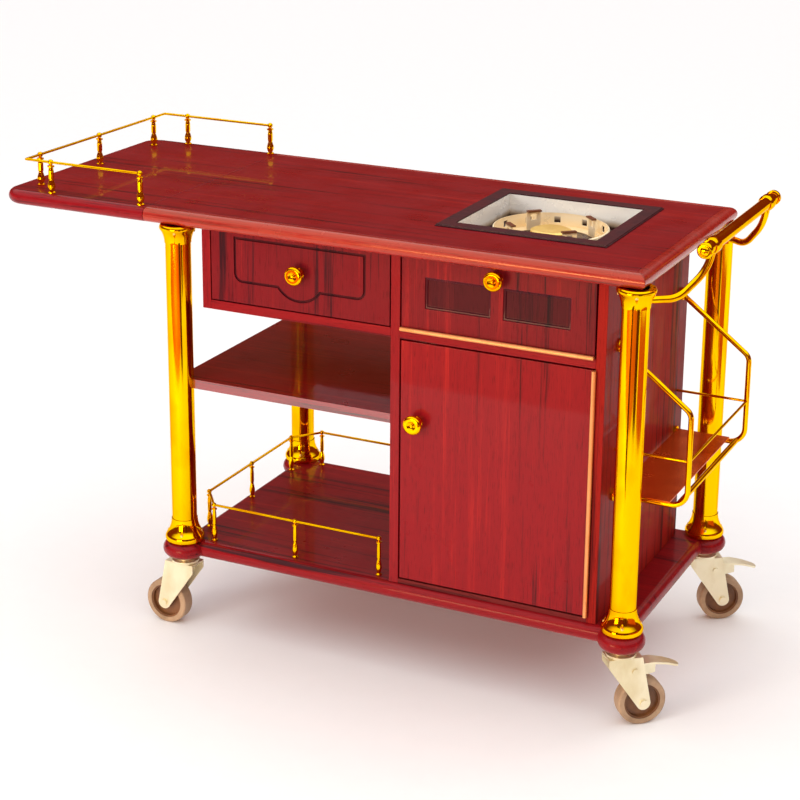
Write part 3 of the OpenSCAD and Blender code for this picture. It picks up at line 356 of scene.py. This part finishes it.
gold = metal("polished_brass", (1.0, 0.58, 0.0), (0.92, 0.40, 0.0), 0.05, 0.14,
             edge=(1.0, 0.72, 0.25))
steel = metal("brushed_steel", (0.88, 0.85, 0.76), (0.78, 0.73, 0.60), 0.22, 0.42,
              buff=(8, 500, 500), metallic=0.6)
zinc = metal("plated_fork_steel", (0.92, 0.86, 0.62), (0.74, 0.64, 0.38), 0.30, 0.5,
             buff=(90, 90, 90), metallic=0.75)
rack_sheet = metal("rack_sheet_brass", (0.90, 0.17, 0.02), (0.75, 0.11, 0.01), 0.16, 0.3,
                   metallic=0.8)
hinge_brass = metal("hinge_brass", (0.86, 0.36, 0.13), (0.70, 0.26, 0.07), 0.25, 0.4,
                    metallic=0.6)
burner_brass = metal("burner_brass", (1.0, 0.70, 0.20), (0.85, 0.50, 0.10), 0.3, 0.45,
                     metallic=0.7)
print("metal finishes:", 6)

# %% [markdown]
# ## The dark trim and the wheels
# The burner's trim is enamelled a very dark plum. The wheels have a tan rubber tyre on a
# moulded brown centre. Rubber is dull, picks up dust in its recesses and gets scuffed
# where it rolls, so its roughness and colour both vary: one noise makes the broad
# patches, a finer one the grain, and both together steer colour and roughness. The
# floor is the same recipe with hardly any difference between its two colours.

# %% Enamel, rubber and floor paint
def matt_colour(name, colour, worn, roughness, coat=0.0, bump=0.15):
    material, tree, shader = new_material(name)
    patches = noise(tree, (22, 22, 22), 6)
    fine = noise(tree, (90, 90, 90), 4)
    wear = mix(tree, 0.4, patches, fine)
    paint = add_ramp(tree, wear, [(0.32, worn), (0.6, colour)])
    tree.links.new(paint, shader.inputs["Base Color"])
    rough = spread(tree, wear, roughness - 0.08, roughness + 0.1)
    tree.links.new(rough, shader.inputs["Roughness"])
    shader.inputs["Coat Weight"].default_value = coat
    shader.inputs["Coat Roughness"].default_value = 0.06
    add_bump(tree, shader, fine, bump, 0.0003)
    return material


dark_enamel = matt_colour("dark_enamel", (0.034, 0.004, 0.008), (0.070, 0.009, 0.013), 0.4,
                          coat=0.2, bump=0.05)
enamel_shader = dark_enamel.node_tree.nodes["Principled BSDF"]
enamel_shader.inputs["Specular IOR Level"].default_value = 0.2
rubber = matt_colour("tan_rubber", (0.46, 0.31, 0.19), (0.30, 0.19, 0.11), 0.55)
hub_brown = matt_colour("hub_brown", (0.22, 0.09, 0.03), (0.12, 0.045, 0.015), 0.45)
floor_paint = matt_colour("floor_paint", (0.95, 0.95, 0.95), (0.94, 0.94, 0.94), 0.7, bump=0.0)
floor.data.materials.append(floor_paint)
print("matt finishes:", 4)

# %% [markdown]
# ## The burner's tray and ring
# These two finishes colour a burner by height: they read the height above the piece's
# own lowest point and look it up in a ramp of colours. The tray is darker towards its
# bottom and cream on its walls, and the ring's upper rim is painted brown, a painted shade
# with the dark frame's reflection in it. A little noise is added to the height first, so
# that the edge of a band is never a straight line.

# %% Burner finishes
# The ring rim's brown colour is painted shade with a painted reflection of the dark frame.
CREAM, TRAY_BOTTOM_DARK, RING_RIM_PAINTED_SHADE = (1.0, 0.99, 0.93), (0.045, 0.014, 0.010), (0.16, 0.045, 0.012)
WAVER = 0.0012


def banded(name, node, bands, roughness, metallic):
    material, tree, shader = new_material(name)
    low, high = (corner.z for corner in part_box(node))
    waver = spread(tree, noise(tree, (45, 45, 45), 4), -WAVER, WAVER)
    wavy = add_node(tree, "ShaderNodeMath", operation="ADD")
    tree.links.new(coordinate(tree, "Z"), wavy.inputs[0])
    tree.links.new(waver, wavy.inputs[1])
    height = add_range(tree, wavy.outputs[0], low, high, 0, 1)
    tree.links.new(add_ramp(tree, height, bands), shader.inputs["Base Color"])
    clouds = noise(tree, (30, 30, 30), 5)
    rough = spread(tree, clouds, roughness - 0.1, roughness + 0.1)
    tree.links.new(rough, shader.inputs["Roughness"])
    shader.inputs["Metallic"].default_value = metallic
    add_bump(tree, shader, clouds, 0.08, 0.0004)
    return material


# The tray is darker towards its bottom.
tray_steel = banded("tray_steel", "burner_tray",
                    [(0.0, TRAY_BOTTOM_DARK), (0.10, TRAY_BOTTOM_DARK), (0.22, (0.55, 0.42, 0.28)), (0.4, CREAM)],
                    0.3, 0.1)
# The ring's top band is painted shade and a painted reflection of the dark frame.
ring_steel = banded("ring_steel", "pan_ring",
                    [(0.0, (0.90, 0.70, 0.40)), (0.5, (1.0, 0.86, 0.60)),
                     (0.84, (0.98, 0.80, 0.50)), (0.95, RING_RIM_PAINTED_SHADE)],
                    0.35, 0.2)
print("burner finishes:", 2)

# %% [markdown]
# ## Turning a mesh into a piece
# A finished mesh becomes a piece in one place: it gets its material, shading that
# follows its large faces and the body that it rides on. Edges sharper than a limit stay
# sharp, so a round tube shines smoothly and a board's corner doesn't.

# %% Piece helpers
SHARP = math.radians(40)


def sharpen(bm):
    for face in bm.faces:
        face.smooth = True
    for edge in bm.edges:
        edge.smooth = not (len(edge.link_faces) == 2 and edge.calc_face_angle(0) > SHARP)


def to_piece(bm, name, body, material, slot, *replaced):
    mesh = bpy.data.meshes.new(name)
    bm.to_mesh(mesh)
    bm.free()
    mesh.materials.append(material)
    piece = add_object(name, mesh)
    normals = piece.modifiers.new("even_shading", "WEIGHTED_NORMAL")
    normals.keep_sharp = True
    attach(piece, body)
    if replaced:
        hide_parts(*replaced)
    return piece


print("piece helpers ready")

# %% [markdown]
# ## Dressing a solid
# A CAD solid has knife edges, and its round faces are made of flat facets. The real
# boards have slightly eased edges, which catch a thin line of light. The helper below
# takes a copy of a solid, merges its loose triangles into whole faces, rounds its sharp
# edges by a small bevel and shades the rest smoothly. The solid itself stays untouched
# and hidden.

# %% Dressing helper
MERGE = 2e-6
FLAT = math.radians(0.5)
EASE_SEGMENTS = 2


def copy_of(node):
    bm = bmesh.new()
    bm.from_mesh(nodes[node].data)
    bmesh.ops.remove_doubles(bm, verts=bm.verts, dist=MERGE)
    return bm


def dressed(node, material, slot, ease):
    bm = copy_of(node)
    bmesh.ops.dissolve_limit(bm, angle_limit=FLAT, verts=bm.verts, edges=bm.edges)
    if ease:
        edges = [edge for edge in bm.edges
                 if len(edge.link_faces) == 2 and edge.calc_face_angle(0) > SHARP]
        bmesh.ops.bevel(bm, geom=edges, offset=ease, offset_type="OFFSET", affect="EDGES",
                        segments=EASE_SEGMENTS, profile=0.5, material=-1, clamp_overlap=True)
    sharpen(bm)
    to_piece(bm, node + "_dressed", nodes[node]["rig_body"], material, slot, node)


print("dressing helper ready")

# %% [markdown]
# ## Dressing a wheel
# A caster's wheel is rubber on a hard centre, but it is one CAD part of two separate
# shells. The tyre is the shell that holds the lowest point, because that is where the
# wheel stands. The helper walks from that point along the edges until the whole shell is
# found, and then makes two pieces: one keeps the shell, the other keeps the rest.

# %% Wheel helper
def shell_of(vert):
    shell, rim = {vert}, [vert]
    while rim:
        for edge in rim.pop().link_edges:
            for other in edge.verts:
                if other not in shell:
                    shell.add(other)
                    rim.append(other)
    return shell


def dressed_wheel(node, slot):
    for name, is_tyre, material in (("tyre", True, rubber), ("centre", False, hub_brown)):
        bm = copy_of(node)
        tyre = shell_of(min(bm.verts, key=lambda vert: vert.co.z))
        others = [vert for vert in bm.verts if (vert in tyre) != is_tyre]
        bmesh.ops.delete(bm, geom=others, context="VERTS")
        sharpen(bm)
        replaced = [node] if is_tyre else []
        to_piece(bm, node.replace("wheel", name), nodes[node]["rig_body"], material, slot,
                 *replaced)


print("wheel helper ready")

# %% [markdown]
# ## Which finish goes where
# The table below gives each finish the nodes that wear it, with the material slot of the
# record and the width of the eased edge. Boards are eased by about a millimetre, small
# stiff parts by less, and turned or bent metal not at all, because it has no sharp edges
# to ease. Whatever the table doesn't name is polished brass: posts, flanges, rails,
# knobs and the handle.

# %% Table of finishes
BOARD_EASE = 0.0012
DRESSES = [
    (wood_upright, "lacquered_wood", BOARD_EASE, ["cabinet_divider", "housing_side", "door_board"]),
    (wood_front, "lacquered_wood", BOARD_EASE, ["drawer_front", "flap_board"]),
    (wood_side, "lacquered_wood", BOARD_EASE, ["cabinet_side"]),
    (wood_nosing_painted_highlight, "lacquered_wood", BOARD_EASE, ["worktop_nosing"]),
    (wood_shelf, "lacquered_wood", BOARD_EASE, ["mid_shelf"]),
    (wood_flat, "lacquered_wood", BOARD_EASE,
     ["deck_board", "worktop", "leaf_board", "housing_floor", "flap_rail_board"]),
    (inner_wood, "inner_wood", 0.0008, ["cabinet_floor", "back_panels", "drawer_box"]),
    (steel, "steel", 0.0,
     ["shelf_pins", "gas_valve", "housing_runners", "drawer_runners", "magnet_catches",
      "leaf_hinge_fixed", "leaf_hinge_moving"]),
    (tray_steel, "steel", 0.0, ["burner_tray"]),
    (ring_steel, "steel", 0.0004, ["pan_ring"]),
    (dark_enamel, "dark_frame", 0.0006, ["burner_frame", "control_panel"]),
    (dark_enamel, "burner_knob", 0.0008, ["burner_knob"]),
    (zinc, "caster_zinc", 0.0005,
     ["caster_stems", "fork_front_left", "fork_front_right", "fork_rear_right",
      "fork_rear_left", "brake_pedal_front_right", "brake_pedal_rear_right"]),
    (rubber, "wheel", 0.0,
     ["wheel_front_left", "wheel_front_right", "wheel_rear_right", "wheel_rear_left"]),
    (burner_brass, "gold_metal", 0.0, ["burner_head"]),
    (hinge_brass, "gold_metal", 0.0, ["case_hinge_leaves", "door_hinge_leaf", "flap_hinge_leaf"]),
    (rack_sheet, "gold_metal", 0.0, ["rack_floor"]),
]
dress_of = {node: dress[:3] for dress in DRESSES for node in dress[3]}
print("nodes in the table:", len(dress_of), "all other nodes:", len(nodes) - len(dress_of))

# %% [markdown]
# ## Dress the cart
# With the table and the two helpers, one loop dresses everything. The plain solids get
# the same material, so they look right too if they are ever shown.

# %% Dress every node
for node in sorted(nodes):
    material, slot, ease = dress_of.get(node, (gold, "gold_metal", 0.0))
    nodes[node].data.materials.clear()
    nodes[node].data.materials.append(material)
    if slot == "wheel":
        dressed_wheel(node, slot)
    else:
        dressed(node, material, slot, ease)
print("dressed nodes:", len(nodes))

# %% [markdown]
# ## Screws in the flanges
# Each flange is held by four screws through its hollow curve. A screw head is a turned
# shape, so its outline is drawn as a few points and spun once round the screw's own
# axis. The dip in the middle is the socket for the key. All heads are one object,
# because they share one finish and never move against each other.

# %% Screw helper
SCREW_RADIUS, SCREW_RISE, SCREW_STEPS = 0.0033, 0.003, 16
SCREW_OUTLINE = [(0.0, 0.45), (0.38, 0.45), (0.45, 1.0), (0.8, 0.9), (1.0, 0.4),
                 (1.0, -0.7), (0.0, -0.7)]


def screw_head(bm, place, up):
    points = [bm.verts.new((place[0] + out * SCREW_RADIUS, place[1],
                            place[2] + up * rise * SCREW_RISE))
              for out, rise in SCREW_OUTLINE]
    edges = [bm.edges.new(pair) for pair in zip(points, points[1:])]
    bmesh.ops.spin(bm, geom=points + edges, cent=place, axis=(0, 0, 1), dvec=(0, 0, 0),
                   angle=math.tau, steps=SCREW_STEPS, use_merge=True)


print("screw radius in mm:", SCREW_RADIUS * 1000)

# %% [markdown]
# ## Placing the screws
# The flanges at the posts' feet bear on the deck and face up, and those under the
# worktop face down. So the heights come from the flanges' own boxes, and the middle of
# each ring of screws from the post that runs through the flange. The first screw is
# turned a little, as a fitter leaves it, so that it doesn't sit square to the cart.

# %% Flange screws
FIRST_SCREW = 20
FOOT_RISE, FOOT_OUT = 0.0175, 0.0312
HEAD_DROP, HEAD_OUT = 0.0115, 0.0295
rows = ((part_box("foot_flanges")[0].z + FOOT_RISE, 1, FOOT_OUT),
        (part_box("head_flanges")[1].z - HEAD_DROP, -1, HEAD_OUT))

screws = bmesh.new()
for corner in ("front_left", "front_right", "rear_right", "rear_left"):
    low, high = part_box("post_" + corner)
    middle = (low + high) / 2
    for height, up, out in rows:
        for quarter in range(4):
            turn = math.radians(90 * quarter + FIRST_SCREW)
            screw_head(screws, (middle.x + out * math.cos(turn),
                                middle.y + out * math.sin(turn), height), up)
bmesh.ops.remove_doubles(screws, verts=screws.verts, dist=1e-6)
bmesh.ops.recalc_face_normals(screws, faces=screws.faces)
sharpen(screws)
print("screw heads' faces:", len(screws.faces))
to_piece(screws, "flange_screws", nodes["foot_flanges"]["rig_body"], burner_brass, "gold_metal")

# %% [markdown]
# ## The sky
# The brightest light is a ceiling dome, which is the world: white overhead and the glow
# of embers near the horizon. A glossy tabletop mirrors the low sky, so a dark low sky
# keeps its red deep instead of milky. The camera itself sees a pale backdrop there,
# which a world can give by asking whether the ray comes straight from the camera.

# %% World
EMBER, DAYLIGHT, BACKDROP = (0.13, 0.022, 0.008), (1.0, 1.0, 1.0), (0.70, 0.69, 0.68)
EMBER_TOP, DAYLIGHT_START, SKY_STRENGTH = 0.38, 0.6, 1.4

world = bpy.data.worlds.new("studio")
bpy.context.scene.world = world
world.use_nodes = True
sky = world.node_tree
direction = add_node(sky, "ShaderNodeTexCoord").outputs["Generated"]
rise = add_node(sky, "ShaderNodeSeparateXYZ", {"Vector": direction}).outputs["Z"]
glow = add_ramp(sky, rise, [(0.0, EMBER), (EMBER_TOP, EMBER), (DAYLIGHT_START, DAYLIGHT)])
seen = add_node(sky, "ShaderNodeLightPath").outputs["Is Camera Ray"]
pale = sky.nodes.new("ShaderNodeMix")
pale.data_type = "RGBA"
pale.inputs["B"].default_value = (*BACKDROP, 1)
sky.links.new(seen, pale.inputs["Factor"])
sky.links.new(glow, pale.inputs["A"])
background = sky.nodes["Background"]
sky.links.new(pale.outputs["Result"], background.inputs["Color"])
background.inputs["Strength"].default_value = SKY_STRENGTH
print("sky nodes:", len(sky.nodes))

# %% [markdown]
# ## Lamps
# Soft boxes are area lamps, large so that shadows stay soft. The key stands in front on
# the left, a warm low box lights the fronts and the nosing, and one behind on the right
# lifts the far posts. A large box would show as a white sheet in the lacquer, so the key
# and the back box light the cart without being mirrored, and a narrow strip beside the
# key gives the brass its highlights. A small spot reaches down into the burner's tray,
# which would be dark otherwise.

# %% Lamps
def aim(lamp, place, target):
    lamp.location = place
    way = Vector(target) - Vector(place)
    lamp.rotation_euler = way.to_track_quat("-Z", "Y").to_euler()


def soft_box(name, place, target, width, height, power, colour=WHITE, mirrored=True):
    data = bpy.data.lights.new(name, "AREA")
    data.shape = "RECTANGLE"
    data.size = width
    data.size_y = height
    data.energy = power
    data.color = colour
    lamp = add_object(name, data)
    lamp.visible_glossy = mirrored
    aim(lamp, place, target)


KEY_PLACE, KEY_TARGET = (-1.6, -3.6, 1.75), (0, 0, 0.5)
soft_box("key", KEY_PLACE, KEY_TARGET, width=1.6, height=0.8, power=33, mirrored=False)
soft_box("key_strip", KEY_PLACE, KEY_TARGET, width=0.45, height=0.8, power=11)
soft_box("front_low", (-0.5, -3.0, 0.5), (0.3, -0.27, 0.8), width=1.3, height=0.8, power=36,
         colour=(1.0, 0.66, 0.36))
soft_box("back_right", (3.0, 2.6, 1.2), (0.2, 0, 0.6), width=1.6, height=1.2, power=20,
         mirrored=False)

spot = bpy.data.lights.new("burner_spot", "SPOT")
spot.energy = 9
spot.spot_size = math.radians(24)
spot.spot_blend = 0.5
spot.shadow_soft_size = 0.05
tray_middle = sum(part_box("burner_tray"), Vector()) / 2
aim(add_object("burner_spot", spot), tray_middle + Vector((-0.05, -0.25, 0.9)), tray_middle)
print("lamps:", len(bpy.data.lights))

# %% [markdown]
# ## Cards and flags
# Brass in an empty white room looks pale. Photographers stand coloured cards round a
# polished thing, so that it mirrors them as bands of shade. A brown card lies in front
# on the floor, two dark flags stand in front, one for each front post, and a warm one
# stands on the right. Each is one flat grid, turned and moved into place. They show only
# in reflections: they give no shadow, tint nothing near them, and the camera doesn't see
# them.

# %% Cards and flags
def card(name, paint, place, size, tilt=0, turn=0):
    mesh = bpy.data.meshes.new(name)
    bm = bmesh.new()
    bmesh.ops.create_grid(bm, x_segments=1, y_segments=1, size=0.5)
    bmesh.ops.scale(bm, vec=(*size, 1), verts=bm.verts)
    for angle, axis in ((tilt, "X"), (turn, "Z")):
        bmesh.ops.rotate(bm, cent=(0, 0, 0), verts=bm.verts,
                         matrix=Matrix.Rotation(math.radians(angle), 3, axis))
    bmesh.ops.translate(bm, vec=place, verts=bm.verts)
    bm.to_mesh(mesh)
    bm.free()
    mesh.materials.append(paint)
    screen = add_object(name, mesh)
    screen.visible_camera = False
    screen.visible_shadow = False
    screen.visible_diffuse = False
    screen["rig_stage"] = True


def flag(name, paint, place, turn, width, low, high):
    card(name, paint, (*place, (low + high) / 2), (width, high - low), tilt=90, turn=turn)


brown = matt_colour("card_paint", (0.50, 0.11, 0.03), (0.45, 0.10, 0.03), 0.8, bump=0.0)
dark = matt_colour("flag_paint", (0.10, 0.010, 0.003), (0.07, 0.008, 0.003), 0.8, bump=0.0)
warm = matt_colour("warm_flag_paint", (0.55, 0.10, 0.012), (0.40, 0.05, 0.008), 0.8, bump=0.0)
card("brown_card", brown, (1.6, -3.7, 0.01), (7.6, 4.0))
flag("flag_right", dark, (1.25, -1.13), 42, 0.45, 0.12, 0.75)
flag("flag_left", dark, (0.35, -1.13), 42, 0.3, 0.12, 0.75)
flag("flag_top", warm, (1.6, -0.3), 90, 1.2, 0.10, 0.42)
print("cards and flags:", 4)

# %% Write the two boxes and finish
dressed_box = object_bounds()
for name, box in (("solids", cad_box), ("dressed", dressed_box)):
    print(name, "in mm:", [round((high - low) * 1000) for low, high in zip(*box)])
